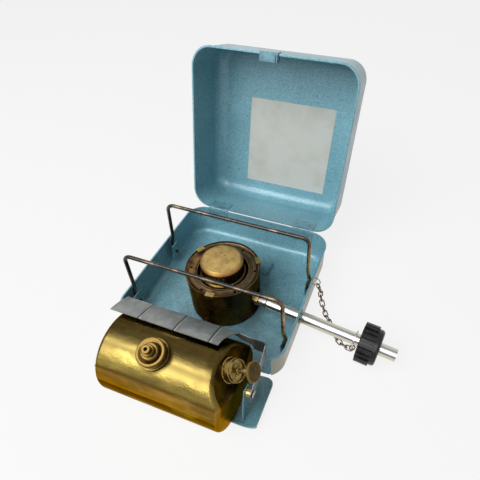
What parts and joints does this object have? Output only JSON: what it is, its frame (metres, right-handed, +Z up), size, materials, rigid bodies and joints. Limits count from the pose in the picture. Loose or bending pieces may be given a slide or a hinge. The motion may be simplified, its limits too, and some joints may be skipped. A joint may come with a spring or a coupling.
{
  "type": "pocket kerosene stove",
  "caption": "Old kerosene pressure stove in a blue steel case, brass tank with hand pump in front, wire pot supports up, valve key at the right.",
  "frame": {"origin": "middle of the tray's underside, on the surface it stands on", "axes": "+X along the tank towards the pump and the key's knob, +Y back towards the lid's hinge, +Z up"},
  "size_m": [0.2813, 0.3591, 0.2167],
  "materials": {
    "blue_paint": "metallic enamel, worn",
    "hinge_steel": "plain",
    "wire_steel": "heat darkened",
    "label_paper": "plain",
    "tank_brass": "polished, tarnished",
    "bright_brass": "polished",
    "dark_brass": "heat tarnished",
    "cap_brass": "satin, worn",
    "shield_aluminium": "satin",
    "key_chrome": "polished",
    "knob_black": "moulded",
    "gasket_rubber": "plain",
    "pump_leather": "oiled"
  },
  "bodies": {
    "case": {"burner_bell": "dark_brass", "burner_body": "dark_brass", "burner_cap": "cap_brass", "chain_collar": "key_chrome", "chain_ring": "wire_steel", "check_valve": "bright_brass", "filler_neck": "tank_brass", "flame_ring": "dark_brass", "flap_hinge_lugs": "blue_paint", "flap_hinge_pins": "hinge_steel", "flap_stay": "blue_paint", "floor_tab": "blue_paint", "front_flap": "blue_paint", "fuel_pipe": "tank_brass", "gland_nut": "bright_brass", "key_chain": "wire_steel", "lid_hinge_pins": "hinge_steel", "nipple": "bright_brass", "pickup_tube": "tank_brass", "pipe_nut": "tank_brass", "priming_cup": "dark_brass", "pump_barrel": "tank_brass", "pump_boss": "tank_brass", "pump_cap": "tank_brass", "rim_tabs": "bright_brass", "ring_plate": "dark_brass", "rivet_washer": "bright_brass", "shield_rivet": "hinge_steel", "support_clips": "blue_paint", "tank_end": "tank_brass", "tank_shell": "tank_brass", "tray": "blue_paint", "tray_hinge_leaves": "blue_paint", "wind_cup": "dark_brass"},
    "lid": {"lid": "blue_paint", "lid_label": "label_paper", "lid_catch": "blue_paint", "lid_hinge_leaves": "blue_paint"},
    "hoop_front": {"support_front": "wire_steel"},
    "hoop_back": {"support_back": "wire_steel"},
    "shield": {"heat_shield": "shield_aluminium"},
    "filler_seal": {"filler_gasket": "gasket_rubber"},
    "filler": {"filler_cap": "bright_brass"},
    "pump": {"pump_rod": "bright_brass", "pump_button": "dark_brass", "pump_leather": "pump_leather"},
    "key": {"key_socket": "key_chrome", "key_tube": "key_chrome", "key_knob": "knob_black"},
    "spindle": {"valve_spindle": "bright_brass"}
  },
  "joints": [
    {"name": "lid_hinge", "type": "hinge", "parent": "case", "child": "lid", "pos_m": [0, 0.0911, 0.03925], "axis": [1, 0, 0], "range_deg": [0, 93]},
    {"name": "front_hoop_swing", "type": "hinge", "parent": "case", "child": "hoop_front", "pos_m": [0, -0.0587, 0.019], "axis": [-1, 0, 0], "range_deg": [-30, 26]},
    {"name": "back_hoop_swing", "type": "hinge", "parent": "case", "child": "hoop_back", "pos_m": [0, 0.0222, 0.019], "axis": [-1, 0, 0], "range_deg": [-43, 60]},
    {"name": "shield_swing", "type": "hinge", "parent": "case", "child": "shield", "pos_m": [0.0774, -0.1238, 0.03955], "axis": [-1, 0, 0], "range_deg": [0, 38]},
    {"name": "filler_lift", "type": "slide", "parent": "case", "child": "filler_seal", "axis": [0, -0.309, 0.9511], "range_m": [0, 0.008]},
    {"name": "filler_turn", "type": "hinge", "parent": "filler_seal", "child": "filler", "pos_m": [-0.0025, -0.1238, 0.03955], "axis": [0, -0.309, 0.9511], "range_deg": [0, 1920]},
    {"name": "pump_slide", "type": "slide", "parent": "case", "child": "pump", "axis": [0.8746, 0, 0.4848], "range_m": [-0.009, 0.05]},
    {"name": "key_turn", "type": "hinge", "parent": "case", "child": "key", "pos_m": [-0.0011, -0.0111, 0.024], "axis": [0.9934, -0.1149, 0], "range_deg": [-90, 450]},
    {"name": "spindle_turn", "type": "hinge", "parent": "case", "child": "spindle", "pos_m": [-0.0011, -0.0111, 0.024], "axis": [0.9934, -0.1149, 0], "range_deg": [-90, 450]}
  ],
  "couplings": [
    {"joint": "filler_turn", "follows": "filler_lift", "rad_per_m": 4188.8},
    {"joint": "spindle_turn", "follows": "key_turn", "ratio": 1}
  ]
}
